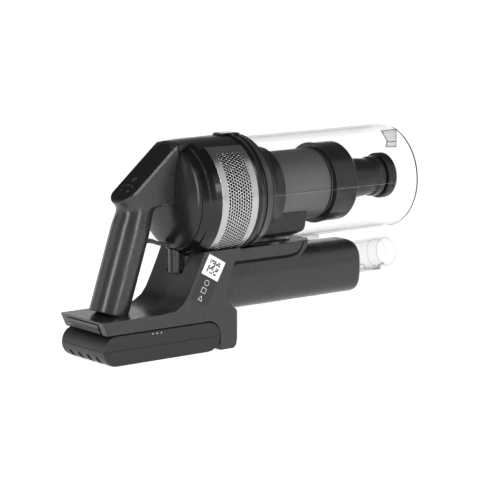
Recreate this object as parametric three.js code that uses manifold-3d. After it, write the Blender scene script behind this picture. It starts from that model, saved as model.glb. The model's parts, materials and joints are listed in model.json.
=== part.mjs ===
// Cordless handheld vacuum: battery foot, grip with display head, motor unit, clear dust bin with
// its cyclone, and the inlet pipe underneath. Millimetres. +X points at the nozzle, +Y to the left
// side, +Z up. The battery stands on Z = 0 and its middle is X = 0, Y = 0.

import * as THREE from "three";
import { mergeVertices } from "three/addons/utils/BufferGeometryUtils.js";
import Module from "manifold-3d";

const wasm = await Module();
wasm.setup();

// Driving dimensions.
const GAP = 0.4; // clearance where two pieces face each other
const WALL = 2.4; // moulded wall
const DOCK_WALL = 3; // wall of the dock and column
const THIN_WALL = 2; // wall of the inlet pipe and its duct
const SPLIT = 0.15; // half the gap at the middle plane of a pair of shells
const AXIS_Z = 152.6; // motor, cyclone and bin axis
const BIN_R = 54.5;
const BIN_WALL = 1.8;
const BIN_REAR = 110.6;
const BIN_FRONT = 319;
const GRILLE = { rear: 55.6, front: 101.4, rearR: 60.6, frontR: 59.7, innerR: 58.1 };
const SPINE_HALF_ANGLE = 30; // degrees each side of the top that the top cover spans
const TUBE = { z: 69.2, r: 16.25, boreR: 14.2, rear: 258, front: 323.7 };
const PIPE = { z: 62.5, halfWidth: 28.8, halfHeight: 28, power: 3, rear: 79, front: 264 };
const BATTERY = { halfLength: 70.75, halfWidth: 37, height: 30.2, split: 15.4 };
const CELL = { r: 9.2, length: 64.8, count: 7, pitch: 18.7 };
const SHELL_Y = 36; // half width of the dock and column
const GRIP = { foot: [-39, 47], tilt: Math.atan2(30, 90), r: 19.5, topR: 18.1 };
const HEAD = { halfWidth: 18, slope: Math.atan(0.842), centre: [1.3, 181.8], underside: 147.2 };
const PANEL = { halfWidth: 15.6, halfLength: 40, thickness: 1.9, pocket: 2.2 };
const LATCH_PIN = { x: 107, z: 210.8, r: 0.9 };
const LATCH_HALF_WIDTH = 6.4;
const LATCH_WAY_Y = [-LATCH_HALF_WIDTH - 0.6, LATCH_HALF_WIDTH + 0.6];
const FLAP_PIN = { x: 172.2, z: 90.9, r: 0.9 };
const POST = { x: 42.5, r: 7.25, boreR: 4.6 };
const SIDES = { large: 48, medium: 36, small: 24 }; // facets round a turned piece
const CHAMBER = { rear: 126, front: 176.6, halfWidth: 16.2, bottom: 53, top: 94.4 };

// Materials.
const paint = (color, roughness, metalness = 0) => ({ color, roughness, metalness });
const BODY_DARK = paint(0x2f3032, 0.45);
const BATTERY_DARK = paint(0x343537, 0.6);
const GLOSS_BLACK = paint(0x08080a, 0.12);
const SILVER = paint(0xa4a6aa, 0.35, 0.9);
const CYCLONE_DARK = paint(0x2a2b2d, 0.4);
const MESH_GREY = paint(0x6b6d70, 0.45, 0.6);
const CLEAR = { ...paint(0xe8eef0, 0.05), transparent: true, opacity: 0.3 };
const RUBBER = paint(0x1a1a1a, 0.85);
const STEEL = paint(0xb8babd, 0.3, 1);
const BRASS = paint(0xc9a24a, 0.35, 1);
const BOARD_GREEN = paint(0x1f5b3a, 0.6);
const FILTER_WHITE = paint(0xdadad4, 0.95);
const FOAM_GREY = paint(0x7c8084, 0.95);
const LIGHT_GREY = paint(0xb9babb, 0.6);
const CELL_BLUE = paint(0x2c5d86, 0.5);
const COPPER = paint(0xb0683a, 0.4, 1);

const assembly = new THREE.Group();

// ---- Solid helpers ----

function signedVolume(points, corners) {
  const [a, b, c] = [new THREE.Vector3(), new THREE.Vector3(), new THREE.Vector3()];
  let total = 0;
  for (let i = 0; i < corners.length; i += 3) {
    a.fromArray(points, 3 * corners[i]);
    b.fromArray(points, 3 * corners[i + 1]);
    c.fromArray(points, 3 * corners[i + 2]);
    total += a.dot(b.cross(c)) / 6;
  }
  return total;
}

// Turns a closed three.js geometry into a solid with its faces pointing outwards.
function solidOf(geometry) {
  const bare = geometry.clone();
  bare.deleteAttribute("normal");
  bare.deleteAttribute("uv");
  const merged = mergeVertices(bare, 1e-3);
  const points = merged.attributes.position.array;
  const index = merged.index.array;
  const corners = [];
  for (let i = 0; i < index.length; i += 3) {
    const [a, b, c] = [index[i], index[i + 1], index[i + 2]];
    if (a !== b && b !== c && c !== a) corners.push(a, b, c);
  }
  if (signedVolume(points, corners) < 0) corners.reverse();
  const mesh = new wasm.Mesh({
    numProp: 3,
    vertProperties: new Float32Array(points),
    triVerts: new Uint32Array(corners),
  });
  return new wasm.Manifold(mesh);
}

function geometryOf(solid) {
  const mesh = solid.getMesh();
  const geometry = new THREE.BufferGeometry();
  geometry.setAttribute("position", new THREE.BufferAttribute(new Float32Array(mesh.vertProperties), 3));
  geometry.setIndex(new THREE.BufferAttribute(new Uint32Array(mesh.triVerts), 1));
  const flat = geometry.toNonIndexed();
  flat.computeVertexNormals();
  return flat;
}

function add(name, solid, look) {
  const mesh = new THREE.Mesh(geometryOf(solid), new THREE.MeshStandardMaterial(look));
  mesh.name = name;
  assembly.add(mesh);
}

const join = (first, ...others) => others.reduce((sum, next) => sum.add(next), first);
const cut = (first, ...others) => others.reduce((rest, next) => rest.subtract(next), first);

function mirrored(solid) {
  const geometry = geometryOf(solid);
  geometry.scale(1, -1, 1);
  return solidOf(geometry);
}

function block(x, y, z) {
  const geometry = new THREE.BoxGeometry(x[1] - x[0], y[1] - y[0], z[1] - z[0]);
  geometry.translate((x[0] + x[1]) / 2, (y[0] + y[1]) / 2, (z[0] + z[1]) / 2);
  return solidOf(geometry);
}

// Shape planes: X takes [y, z] outlines, Y takes [x, z] and Z takes [x, y].
const AXES = {
  X: [new THREE.Vector3(0, 1, 0), new THREE.Vector3(0, 0, 1), new THREE.Vector3(1, 0, 0)],
  Y: [new THREE.Vector3(1, 0, 0), new THREE.Vector3(0, 0, 1), new THREE.Vector3(0, -1, 0)],
  Z: [new THREE.Vector3(1, 0, 0), new THREE.Vector3(0, 1, 0), new THREE.Vector3(0, 0, 1)],
};

const shapeOf = (outline) =>
  outline instanceof THREE.Shape
    ? outline
    : new THREE.Shape(outline.map(([a, b]) => new THREE.Vector2(a, b)));

function prismGeometry(axis, outline, low, high, bevel = 0) {
  const geometry = new THREE.ExtrudeGeometry(shapeOf(outline), {
    depth: high - low - 2 * bevel,
    curveSegments: 10,
    bevelEnabled: bevel > 0,
    bevelThickness: bevel,
    bevelSize: bevel,
    bevelOffset: -bevel,
    bevelSegments: 3,
  });
  const depthStart = axis === "Y" ? -high : low;
  geometry.translate(0, 0, depthStart + bevel);
  geometry.applyMatrix4(new THREE.Matrix4().makeBasis(...AXES[axis]));
  return geometry;
}

const prism = (...args) => solidOf(prismGeometry(...args));

// A cylinder along an axis. centre gives the other two coordinates in the order of the axes.
function rod(axis, r, low, high, centre, sides = 24) {
  const geometry = new THREE.CylinderGeometry(r, r, high - low, sides);
  const middle = (low + high) / 2;
  if (axis === "X") geometry.rotateZ(-Math.PI / 2).translate(middle, centre[0], centre[1]);
  if (axis === "Y") geometry.translate(centre[0], middle, centre[1]);
  if (axis === "Z") geometry.rotateX(Math.PI / 2).translate(centre[0], centre[1], middle);
  return solidOf(geometry);
}

// A profile of [x, r] corners turned about an axis along X at height z.
function turned(profile, sides = SIDES.large, z = AXIS_Z) {
  const points = profile.map(([x, r]) => new THREE.Vector2(r, x));
  const onAxis = profile[0][1] === 0 && profile.at(-1)[1] === 0;
  if (!onAxis) points.push(points[0].clone());
  const geometry = new THREE.LatheGeometry(points, sides);
  geometry.rotateZ(-Math.PI / 2);
  geometry.translate(0, 0, z);
  return solidOf(geometry);
}

const ring = (x, r, sides = SIDES.large, z = AXIS_Z) =>
  turned([[x[0], r[0]], [x[0], r[1]], [x[1], r[1]], [x[1], r[0]]], sides, z);

// A box standing out from the main axis at an angle from straight up.
function radialBlock(x, halfWidth, r, degrees) {
  const geometry = new THREE.BoxGeometry(x[1] - x[0], 2 * halfWidth, r[1] - r[0]);
  geometry.translate((x[0] + x[1]) / 2, 0, (r[0] + r[1]) / 2);
  geometry.rotateX(THREE.MathUtils.degToRad(degrees));
  geometry.translate(0, 0, AXIS_Z);
  return solidOf(geometry);
}

// The wedge above the main axis that spans the given angle each side of the top.
function topWedge(x, halfAngle) {
  const side = 90 * Math.tan(THREE.MathUtils.degToRad(halfAngle));
  return prism("X", [[0, AXIS_Z], [side, AXIS_Z + 90], [-side, AXIS_Z + 90]], x[0], x[1]);
}

// Moves each edge of a counter-clockwise outline inwards by the same distance.
function inset(outline, distance) {
  const count = outline.length;
  return outline.map((corner, i) => {
    const before = outline[(i + count - 1) % count];
    const after = outline[(i + 1) % count];
    const into = new THREE.Vector2(corner[0] - before[0], corner[1] - before[1]).normalize();
    const out = new THREE.Vector2(after[0] - corner[0], after[1] - corner[1]).normalize();
    const bisector = new THREE.Vector2(-into.y - out.y, into.x + out.x).normalize();
    const reach = distance / (bisector.x * -into.y + bisector.y * into.x);
    return [corner[0] + bisector.x * reach, corner[1] + bisector.y * reach];
  });
}

function arcPoints([cx, cy], r, fromDegrees, toDegrees, steps) {
  return Array.from({ length: steps + 1 }, (_, i) => {
    const angle = THREE.MathUtils.degToRad(fromDegrees + ((toDegrees - fromDegrees) * i) / steps);
    return [cx + r * Math.cos(angle), cy + r * Math.sin(angle)];
  });
}

function stadium([cx, cy], halfLength, r, steps = 10) {
  const inner = halfLength - r;
  return [
    ...arcPoints([cx + inner, cy], r, -90, 90, steps),
    ...arcPoints([cx - inner, cy], r, 90, 270, steps),
  ];
}

function superellipse(halfWidth, halfHeight, power, z, steps = 40) {
  return Array.from({ length: steps }, (_, i) => {
    const angle = (2 * Math.PI * (i + 0.5)) / steps;
    const [c, s] = [Math.cos(angle), Math.sin(angle)];
    return [
      halfWidth * Math.sign(c) * Math.abs(c) ** (2 / power),
      z + halfHeight * Math.sign(s) * Math.abs(s) ** (2 / power),
    ];
  });
}

// A coil along an axis direction, starting at a point.
function coil(start, axis, length, radius, wireR, turns) {
  const along = new THREE.Vector3(...axis).normalize();
  const across = new THREE.Vector3(0, 0, 1);
  const third = new THREE.Vector3().crossVectors(along, across);
  const steps = turns * 8;
  const points = Array.from({ length: steps + 1 }, (_, i) => {
    const angle = (2 * Math.PI * turns * i) / steps;
    return new THREE.Vector3(...start)
      .addScaledVector(along, (length * i) / steps)
      .addScaledVector(across, radius * Math.cos(angle))
      .addScaledVector(third, radius * Math.sin(angle));
  });
  return sweep(points, wireR, steps, 5);
}

function sweep(points, r, steps, sides) {
  const section = new THREE.Shape(arcPoints([0, 0], r, 0, 360, sides)
    .slice(0, sides)
    .map(([a, b]) => new THREE.Vector2(a, b)));
  const path = new THREE.CatmullRomCurve3(points);
  return solidOf(new THREE.ExtrudeGeometry(section, { steps, extrudePath: path }));
}

// The space that the motor unit and the bin take, with clearance around them.
const motorSpace = turned([
  [26.6, 0], [26.9, 16], [28, 29], [30.4, 40.6], [33, 47.6], [35.6, 51.4], [38.2, 52.4],
  [44.4, 56.8], [49.8, 59.5], [55, 61.1], [101.8, 60.3], [123.5, 58],
  [123.5, BIN_R + GAP], [330, BIN_R + GAP], [330, 0],
], SIDES.large);

// ---- Battery pack ----

function batteryBlank() {
  const side = stadium([0, BATTERY.height / 2], BATTERY.halfLength, BATTERY.height / 2);
  const outer = prism("Y", side, -BATTERY.halfWidth, BATTERY.halfWidth, 1.2);
  const room = stadium([0, BATTERY.height / 2], BATTERY.halfLength - WALL, BATTERY.height / 2 - WALL);
  return cut(outer, prism("Y", room, WALL - BATTERY.halfWidth, BATTERY.halfWidth - WALL));
}

const RAIL = { stemY: 16.5, flangeY: 21.8, flangeZ: [33.5, 38.2], rear: -60.4, front: 58 };

function buildBattery() {
  const blank = batteryBlank();
  const wide = [-80, 80];
  const middle = [0, BATTERY.height / 2];
  const grooveDepth = 1.3;
  const gripBand = cut(
    prism("Y", stadium(middle, BATTERY.halfLength + 3, BATTERY.height / 2 + 3), -40, 40),
    prism("Y", stadium(middle, BATTERY.halfLength - grooveDepth, BATTERY.height / 2 - grooveDepth), -41, 41),
  );
  const grooves = [-22.5, -7.5, 7.5, 22.5].map((y) =>
    gripBand.intersect(block([-80, -44], [y - 2.5, y + 2.5], [-5, 9])));
  const lower = cut(blank, block(wide, wide, [BATTERY.split - SPLIT, 60]), ...grooves);
  add("battery_case_lower", lower, BATTERY_DARK);

  const length = [RAIL.rear, RAIL.front];
  const upper = join(
    cut(blank, block(wide, wide, [-10, BATTERY.split + SPLIT])),
    block(length, [-RAIL.stemY, RAIL.stemY], [29, RAIL.flangeZ[0] + 0.5]),
    block(length, [-RAIL.flangeY, RAIL.flangeY], RAIL.flangeZ),
  );
  const guideHoles = [-9, 9].map((y) => rod("X", 2.5, -62, -50, [y, 36], 12));
  const room = block([-54, 46], [-14, 14], [26, 36.2]);
  const socket = block([48, 70], [-12.4, 12.4], [31.6, 36.8]);
  const springSeat = rod("X", 3, -62, -57.4, [0, 36], 16);
  add("battery_case_upper", cut(upper, room, socket, springSeat, ...guideHoles), BATTERY_DARK);

  const cells = Array.from({ length: CELL.count }, (_, i) => {
    const x = (i - (CELL.count - 1) / 2) * CELL.pitch;
    return rod("Y", CELL.r, -CELL.length / 2, CELL.length / 2, [x, BATTERY.height / 2], 16);
  });
  const stripEnd = CELL.length / 2;
  const strips = [-1, 1].map((side) => {
    const y = [side * (stripEnd - 0.2), side * (stripEnd + 0.8)].sort((a, b) => a - b);
    return block([-60, 60], y, [13, 17.2]);
  });
  add("cell_pack", join(...cells, ...strips), CELL_BLUE);
  add("battery_board", block([-40, 30], [-12, 12], [25.8, 27.2]), BOARD_GREEN);

  const slots = [-7, 0, 7].map((y) => block([52, 60], [y - 1.4, y + 1.4], [32.6, 35.9]));
  add("battery_terminals", cut(block([48.4, 57.8], [-12, 12], [32, 36.4]), ...slots), BRASS);

  const face = [[-71.4, 41.4], [-69.6, 37.4], [-70.4, 36.8], [-67.8, 33.6], [-68.4, 33], [-66.9, 31.6],
    [-63.2, 31.6], [-63.2, 41.4]];
  const stems = [-9, 9].map((y) => rod("X", 2.1, -64, -54.5, [y, 36], 12));
  add("battery_release_button", join(prism("Y", face, -26, 26), ...stems), BODY_DARK);
  add("battery_release_spring", coil([-62.7, 0, 36], [1, 0, 0], 4.7, 2.1, 0.35, 4), STEEL);
}

// ---- Dock and column ----

// Side outline of the dock with the column that rises from its front half.
const BODY_SIDE = [
  [-65.7, 31], [60, 31],
  ...arcPoints([BATTERY.halfLength - 15.1, 15.1], 16, 70, 0, 5),
  [71.7, 0], [88, 0], [91.4, 3.2], [92.4, 9.4],
  [92.4, 37.6], [90.5, 40.2], [79.4, 48], [76.8, 52.2], [81.7, 68.2], [85.5, 77.9], [89.3, 86.6],
  [94.3, 91.6], [95.8, 95.5], [96.8, 101],
  [51.8, 101], [45.2, 86.5], [38.2, 72.1], [31.8, 59.8], [25.6, 52], [15.7, 46], [-2.5, 44.6],
  [-71.8, 44.6],
];

const SCREWS = [{ name: "body_screw_upper", x: 71, z: 60 }, { name: "body_screw_lower", x: 84, z: 18 }];

function bodyShellRight() {
  const outer = prism("Y", BODY_SIDE, -SHELL_Y, -SPLIT);
  const room = prism("Y", inset(BODY_SIDE, DOCK_WALL), DOCK_WALL - SHELL_Y, 0);
  const bosses = SCREWS.map(({ x, z }) => rod("Y", 4, -SHELL_Y + 1, -SPLIT, [x, z], 16));
  const railWay = block([-80, 66.8], [-27.4, 0], [28, 41.8]);
  const rearWindow = join(block([34, 57], [-13, 0], [77.5, 99]), block([43, 52], [-3, 0], [73, 80]));
  const pipeWay = prism("X",
    superellipse(PIPE.halfWidth + GAP, PIPE.halfHeight + GAP, PIPE.power, PIPE.z), PIPE.rear - GAP, 270);
  const saddleWay = block([PIPE.rear - GAP, 210], [-26.4, 0], [72, 105]);
  return cut(join(cut(outer, room), ...bosses), railWay, rearWindow, pipeWay, saddleWay, motorSpace);
}

function buildBody() {
  const right = bodyShellRight();
  const left = mirrored(right);
  const pilotHoles = SCREWS.map(({ x, z }) => rod("Y", 1.7, -14, 0, [x, z], 12));
  const screwHoles = SCREWS.map(({ x, z }) =>
    join(rod("Y", 1.9, -1, 40, [x, z], 12), rod("Y", 3.8, 30.6, 40, [x, z], 16)));
  add("body_shell_right", cut(right, ...pilotHoles), BODY_DARK);
  add("body_shell_left", cut(left, ...screwHoles), BODY_DARK);
  for (const { name, x, z } of SCREWS) {
    const head = rod("Y", 3.3, 31, 34, [x, z], 16);
    const recess = block([x - 0.5, x + 0.5], [32.8, 35], [z - 2.2, z + 2.2]);
    const crossRecess = block([x - 2.2, x + 2.2], [32.8, 35], [z - 0.5, z + 0.5]);
    add(name, cut(join(rod("Y", 1.4, -12, 31.5, [x, z], 12), head), recess, crossRecess), STEEL);
  }

  const railLength = [-60, 59.6];
  const lip = [17, 26.8];
  const rail = join(
    block(railLength, [-26.8, 26.8], [38.8, 41.4]),
    block(railLength, [22.3, 26.8], [31.3, 39]),
    block(railLength, [-26.8, -22.3], [31.3, 39]),
    block(railLength, lip, [31.3, 33.1]),
    block(railLength, [-lip[1], -lip[0]], [31.3, 33.1]),
  );
  add("battery_rail", rail, BODY_DARK);

  const blades = [-7, 0, 7].map((y) => block([53, 61], [y - 0.9, y + 0.9], [33.1, 35.4]));
  add("dock_terminals", join(block([60.2, 65.6], [-13, 13], [32, 38]), ...blades), BRASS);

  const post = rod("Z", POST.r, 78, 108, [POST.x, 0], 32);
  const postBore = rod("Z", POST.boreR, 70, 112, [POST.x, 0], 20);
  add("neck_post", cut(post, postBore, motorSpace), BODY_DARK);

  const bracket = [[-24, 49], [24, 49], [24, 96], [-24, 96]];
  add("column_bracket", cut(prism("X", bracket, 60, 63), motorSpace), LIGHT_GREY);

  const route = [[67.7, 35], [70.2, 40.2], [66, 44.2], [55.6, 47], [51.6, 60], [48.6, 69], [45.6, 76],
    [44.4, 83], [43.6, 92], [43.2, 102], [42.4, 109], [41, 115], [39.6, 119]];
  const lead = sweep(route.map(([x, z]) => new THREE.Vector3(x, 0, z)), 1.7, 36, 8);
  add("power_lead", lead, RUBBER);
}

// ---- Grip and display head ----

// The full round of the grip, grown or shrunk by an amount.
function gripRound(extra) {
  const profile = [[0, -12], [GRIP.r + extra, -12], [GRIP.r + extra, 84], [GRIP.topR + extra, 102],
    [GRIP.topR + extra, 120], [0, 120]];
  const geometry = new THREE.LatheGeometry(profile.map(([r, s]) => new THREE.Vector2(r, s)), 40);
  geometry.rotateX(Math.PI / 2);
  geometry.rotateY(GRIP.tilt);
  geometry.translate(GRIP.foot[0], 0, GRIP.foot[1]);
  return solidOf(geometry);
}

// Places geometry made in the display's own frame: X up the slope, Y left, Z out of the face.
function onDisplay(geometry) {
  geometry.rotateY(-HEAD.slope);
  geometry.translate(HEAD.centre[0], 0, HEAD.centre[1]);
  return solidOf(geometry);
}

function displayPrism(outline, low, high, bevel = 0) {
  return onDisplay(prismGeometry("Z", outline, low, high, bevel));
}

// Plan of the head seen square to the display: round at the low end, straight past the high end.
const headPlan = (halfWidth) => [
  [90, -halfWidth], [90, halfWidth],
  ...arcPoints([-42.8 + HEAD.halfWidth, 0], halfWidth, 90, 270, 12),
];

function buildHead() {
  const shell = cut(gripRound(0), gripRound(-2.6));
  const between = block([-80, 40], [-30, 30], [45, HEAD.underside - GAP]);
  const tube = cut(shell.intersect(between), motorSpace);
  add("grip_shell_right", cut(tube, block([-80, 40], [-SPLIT, 30], [40, 160])), BODY_DARK);
  add("grip_shell_left", cut(tube, block([-80, 40], [-30, SPLIT], [40, 160])), BODY_DARK);

  const frontX = 34.4;
  const side = [[-24.5, HEAD.underside], [31.3, HEAD.underside], [frontX, 150.4], [frontX, 209.8],
    [-31.9, 154], [-30.4, 149.6]];
  const outer = prism("Y", side, -HEAD.halfWidth, HEAD.halfWidth, 1.2);
  const section = [[-19, -90], [19, -90], [19, -5.83], [16.6, 0], [16.6, 1],
    [-16.6, 1], [-16.6, 0], [-19, -5.83]];
  const rounded = outer
    .intersect(displayPrism(headPlan(HEAD.halfWidth), -80, 8))
    .intersect(onDisplay(prismGeometry("X", section, -90, 90)))
    .intersect(rod("X", 57.3, -60, 60, [0, AXIS_Z], SIDES.large));
  const roomSide = [[-15.6, 140], [9.6, 140], [9.6, 149.8], [30.6, 149.8], [frontX - WALL, 152],
    [frontX - WALL, 203.2], [-25.2, 154.7], [-15.6, 150]];
  const room = prism("Y", roomSide, -15.4, 15.4);
  const pocket = displayPrism(stadium([0, 0], PANEL.halfLength + GAP, PANEL.halfWidth + GAP, 12),
    -PANEL.pocket, 6);
  const ledge = displayPrism(stadium([0, 0], PANEL.halfLength - 3, PANEL.halfWidth - 3, 12), -8, 0);
  add("head_shell", cut(rounded, room, pocket, ledge), BODY_DARK);

  const face = displayPrism(stadium([0, 0], PANEL.halfLength, PANEL.halfWidth, 12),
    -PANEL.thickness, 0);
  const keys = [
    { name: "power_button", u: -10.5, v: 0, r: 5 },
    { name: "minus_button", u: -26.5, v: 5.6, r: 3.8 },
    { name: "plus_button", u: -26.5, v: -5.6, r: 3.8 },
  ];
  const keyAt = ({ u, v, r }, extra, low, high) =>
    displayPrism(arcPoints([u, v], r + extra, 0, 360, 24).slice(0, 24), low, high);
  add("display_panel", cut(face, ...keys.map((key) => keyAt(key, 0.3, -5, 5))), GLOSS_BLACK);
  for (const key of keys) add(key.name, keyAt(key, 0, -3.4, 0.3), GLOSS_BLACK);
  add("display_board", displayPrism(stadium([0, 0], 34, 9.6, 6), -6.4, -4.8), BOARD_GREEN);

  const strap = [[0, 111.2], [10, 111], [17, 107.7], [31, 104.6], [31, 108.2], [18, 111.3],
    [11, 114.6], [0, 114.8]];
  add("finger_guard", cut(prism("Y", strap, -7, 7, 0.8), gripRound(GAP), motorSpace), BODY_DARK);
}

// ---- Inlet pipe under the bin ----

function buildInlet() {
  const { z, halfWidth, halfHeight, power, rear, front } = PIPE;
  const edge = 5;
  const outer = prism("X", superellipse(halfWidth, halfHeight, power, z), rear - edge, front, edge);
  const inside = superellipse(halfWidth - THIN_WALL, halfHeight - THIN_WALL, power, z);
  const room = prism("X", inside, rear - 9, front - 3);
  const saddleSide = [[rear + 19, 76], [172, 76], [184, 82], [191, 90], [194, 98.2], [rear + 19, 98.2]];
  const saddle = prism("Y", saddleSide, -25.9, 25.9, 1);
  const deck = block([180, 200], [-16, 16], [80, 98.2]);
  const saddleRoom = prism("Y", inset(saddleSide, THIN_WALL), THIN_WALL - 25.9, 25.9 - THIN_WALL);
  const deckRoom = block([182, 197.6], [-13.6, 13.6], [78, 95.8]);
  const chimney = block([CHAMBER.rear - GAP, CHAMBER.front + GAP],
    [-CHAMBER.halfWidth - GAP, CHAMBER.halfWidth + GAP], [80, 105]);
  const tubeHole = rod("X", TUBE.r + GAP, front - 10, front + 10, [0, TUBE.z], SIDES.medium);
  const trimRear = block([0, rear], [-60, 60], [0, 120]);
  const housing = cut(join(outer, saddle, deck), room, saddleRoom, deckRoom, chimney, tubeHole,
    trimRear, motorSpace);
  add("inlet_housing", housing, BODY_DARK);

  const strip = [[97.4, 86], [167, 86], [176.5, 87.7], [181.8, 93.4], [184, 98.4], [97.4, 98.4]];
  const cover = cut(prism("Y", strip, -28.9, -26.3, 0.6), motorSpace);
  add("inlet_cover_right", cover, BODY_DARK);
  add("inlet_cover_left", mirrored(cover), BODY_DARK);

  const { rear: back, front: nose, halfWidth: wide, bottom, top } = CHAMBER;
  const wall = 1.9;
  const ductBlank = join(
    rod("X", TUBE.boreR + THIN_WALL, 165, TUBE.rear - GAP, [0, TUBE.z], 32),
    block([back, nose], [-wide, wide], [bottom, top]),
  );
  const duct = cut(
    ductBlank,
    rod("X", TUBE.boreR, 170, 262, [0, TUBE.z], 32),
    block([back + wall, nose - wall], [wall - wide, wide - wall], [bottom + wall, top + 5]),
    rod("Y", FLAP_PIN.r + 0.2, -20, 20, [FLAP_PIN.x, FLAP_PIN.z], 16),
  );
  add("air_duct", duct, BODY_DARK);
  const sealBlank = block([back, nose], [-wide, wide], [top + 0.3, 99]);
  add("port_seal", cut(sealBlank, block([129, 173.6], [-13.2, 13.2], [80, 105]), motorSpace), RUBBER);

  const flapX = nose - wall;
  const flap = join(
    block([flapX - 1.5, flapX - 0.3], [-13.4, 13.4], [56.6, 90]),
    rod("Y", 2, -13.4, 13.4, [FLAP_PIN.x, FLAP_PIN.z], 20),
  );
  add("inlet_flap", cut(flap, rod("Y", FLAP_PIN.r + 0.25, -20, 20, [FLAP_PIN.x, FLAP_PIN.z], 16)), RUBBER);
  add("flap_pin", rod("Y", FLAP_PIN.r, -15.8, 15.8, [FLAP_PIN.x, FLAP_PIN.z], 16), STEEL);

  const key = block([283, 312], [-5, 5], [51, 54]);
  const tube = cut(join(rod("X", TUBE.r, TUBE.rear, TUBE.front, [0, TUBE.z], SIDES.medium), key),
    rod("X", TUBE.boreR, TUBE.rear - 5, TUBE.front + 5, [0, TUBE.z], SIDES.medium));
  add("inlet_tube", tube, CLEAR);
}

// ---- Motor unit ----

function buildMotorUnit() {
  const dome = turned([
    [27, 0], [27.3, 16], [28.5, 29], [31, 40.4], [33.6, 47], [35.4, 49.8], [37, 51], [38, 51],
    [38, 48.6], [35.2, 45.6], [33.2, 39.6], [30.8, 28.4], [29.7, 15.8], [29.4, 0],
  ], SIDES.large);
  const headWay = block([0, 34.8], [-HEAD.halfWidth - GAP, HEAD.halfWidth + GAP],
    [HEAD.underside - GAP, 220]);
  add("rear_cover", cut(dome, headWay), GLOSS_BLACK);

  const drum = turned([
    [38.4, 46], [38.4, 51.6], [44.4, 55.4], [45, 56.4], [50, 59], [55.2, 60.4], [55.2, 56.4],
    [GRILLE.front, 56.4], [GRILLE.front, 54.2], [53, 54.2], [47, 50.5], [47, 46],
  ], SIDES.large);
  const vents = Array.from({ length: 12 }, (_, i) => radialBlock([62, 95], 7, [50, 60], 48 + 24 * i));
  const spineBed = cut(
    join(topWedge([49.6, 56], SPINE_HALF_ANGLE + 1), block([37, 50], [-18.4, 18.4], [195, 216])),
    rod("X", 54.9, 30, 60, [0, AXIS_Z], SIDES.large),
  );
  const latchBed = block([93, 102], LATCH_WAY_Y, [208.2, 220]);
  const leadHole = rod("Z", 3.4, 90, 112, [43, 0], 16);
  add("motor_housing", cut(drum, ...vents, spineBed, latchBed, leadHole), CYCLONE_DARK);

  const band = turned([[GRILLE.rear, GRILLE.innerR], [GRILLE.rear, GRILLE.rearR],
    [GRILLE.front, GRILLE.frontR], [GRILLE.front, GRILLE.innerR]], SIDES.large);
  const slots = Array.from({ length: 24 }, (_, i) => radialBlock([63.5, 93.5], 2, [50, 70], 42 + 12 * i));
  add("exhaust_grille", cut(band, topWedge([50, 110], SPINE_HALF_ANGLE + 0.4), ...slots), SILVER);

  const spine = turned([[34.8, 51.4], [34.8, 57.3], [55, 58.4], [GRILLE.front, 58.9],
    [GRILLE.front, 56.9], [55.8, 56.9], [54.4, 55.4], [38, 55.3], [38, 51.4]], SIDES.large);
  const spinePlan = join(topWedge([50, 110], SPINE_HALF_ANGLE), block([34, 51], [-18, 18], [195, 216]));
  const latchWay = block([93, 103], LATCH_WAY_Y, [200, 220]);
  add("top_cover", cut(spine.intersect(spinePlan), latchWay), CYCLONE_DARK);

  const collar = turned([[101.8, 46], [101.8, 59.7], [123, 57.5], [123, BIN_R + 0.45],
    [108.2, BIN_R + 0.45], [108.2, 48.5], [104.4, 48.5], [104.4, 46]], SIDES.large);
  const lugs = [-1, 1].map((side) => {
    const y = [side * (LATCH_HALF_WIDTH + 0.5), side * (LATCH_HALF_WIDTH + 3)].sort((a, b) => a - b);
    return block([104.6, 109.4], y, [208, 212.6]);
  });
  const pinHole = rod("Y", LATCH_PIN.r + 0.2, -20, 20, [LATCH_PIN.x, LATCH_PIN.z], 16);
  const hookY = [-LATCH_HALF_WIDTH - 0.5, LATCH_HALF_WIDTH + 0.5];
  const hookWay = block([90, 130], hookY, [206.6, 220]);
  add("front_collar", cut(join(collar, ...lugs), hookWay, pinHole), GLOSS_BLACK);

  const pleats = Array.from({ length: 72 }, (_, i) => {
    const angle = (2 * Math.PI * i) / 72;
    const r = i % 2 ? 49 : 53.6;
    return [r * Math.cos(angle), AXIS_Z + r * Math.sin(angle)];
  });
  const filterBore = rod("X", 45, 50, 100, [0, AXIS_Z], 36);
  add("post_filter", cut(prism("X", pleats, 57, 98), filterBore), FILTER_WHITE);
  add("pre_filter", turned([[99.8, 0], [99.8, 45.4], [110.2, 45.4], [110.2, 0]], 36), FOAM_GREY);

  const can = turned([[51, 6.8], [51, 26], [80, 26], [80, 24], [56, 24], [56, 9], [53.6, 9],
    [53.6, 6.8]], SIDES.small);
  const arms = [0, 90, 180, 270].map((angle) => radialBlock([47.5, 52], 4, [12, 50], angle + 45));
  const hubSpace = rod("X", 11, 40, 51, [0, AXIS_Z], SIDES.small);
  add("motor_can", cut(join(can, ...arms), hubSpace), STEEL);

  const core = ring([58, 73], [12, 23.4], SIDES.small);
  const windings = Array.from({ length: 6 }, (_, i) => radialBlock([50, 80], 2.6, [14.5, 19.5], 30 + 60 * i));
  add("stator", cut(core, ...windings), COPPER);

  const shaft = rod("X", 2, 50, 97, [0, AXIS_Z], SIDES.small);
  add("rotor", join(shaft, rod("X", 11.2, 58, 73, [0, AXIS_Z], SIDES.small)), STEEL);
  add("rear_bearing", ring([51.4, 55.4], [2.1, 6.4], SIDES.small), STEEL);
  add("front_bearing", ring([76, 80], [2.1, 6.4], SIDES.small), STEEL);

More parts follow.
